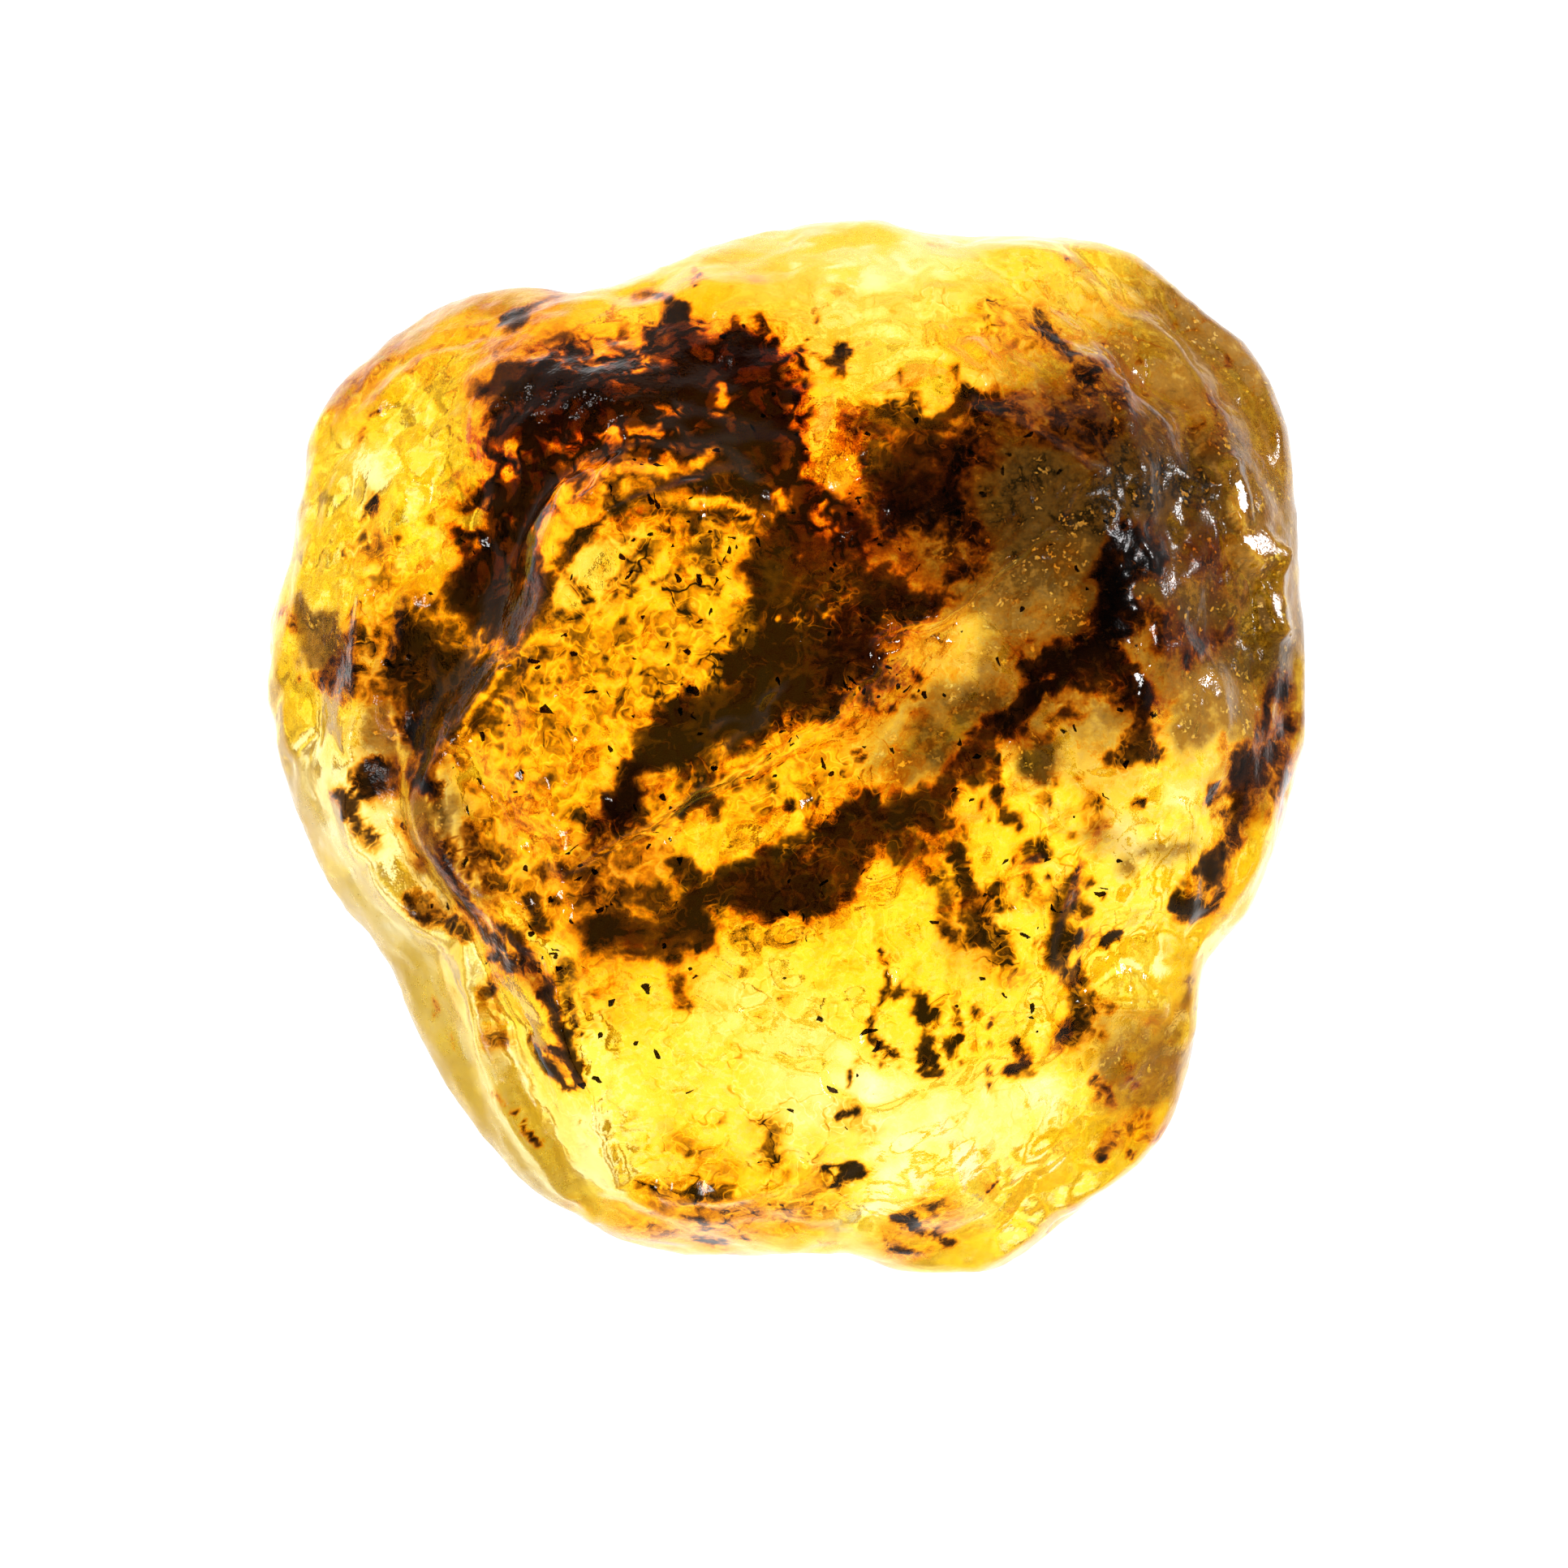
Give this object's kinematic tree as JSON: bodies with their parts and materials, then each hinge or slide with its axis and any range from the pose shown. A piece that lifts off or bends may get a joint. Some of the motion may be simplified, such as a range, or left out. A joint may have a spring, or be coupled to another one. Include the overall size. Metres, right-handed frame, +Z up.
{
  "type": "raw amber piece",
  "caption": "Rough lump of golden see-through amber with dark inclusions, folded and ridged on top, lying on a small flat on its underside.",
  "frame": {"origin": "middle of the lump in plan, at the height of the flat that it rests on", "axes": "+Z up, square to the rest flat; seen from above, +X is towards the side with the notch and +Y towards the side with the two rounded corners"},
  "size_m": [0.05, 0.051, 0.026],
  "materials": {
    "amber": "see-through golden amber, worn smooth, with patches of dark bark-like crust and dark debris"
  },
  "bodies": {
    "root": {"amber_piece": "amber"}
  },
  "joints": []
}
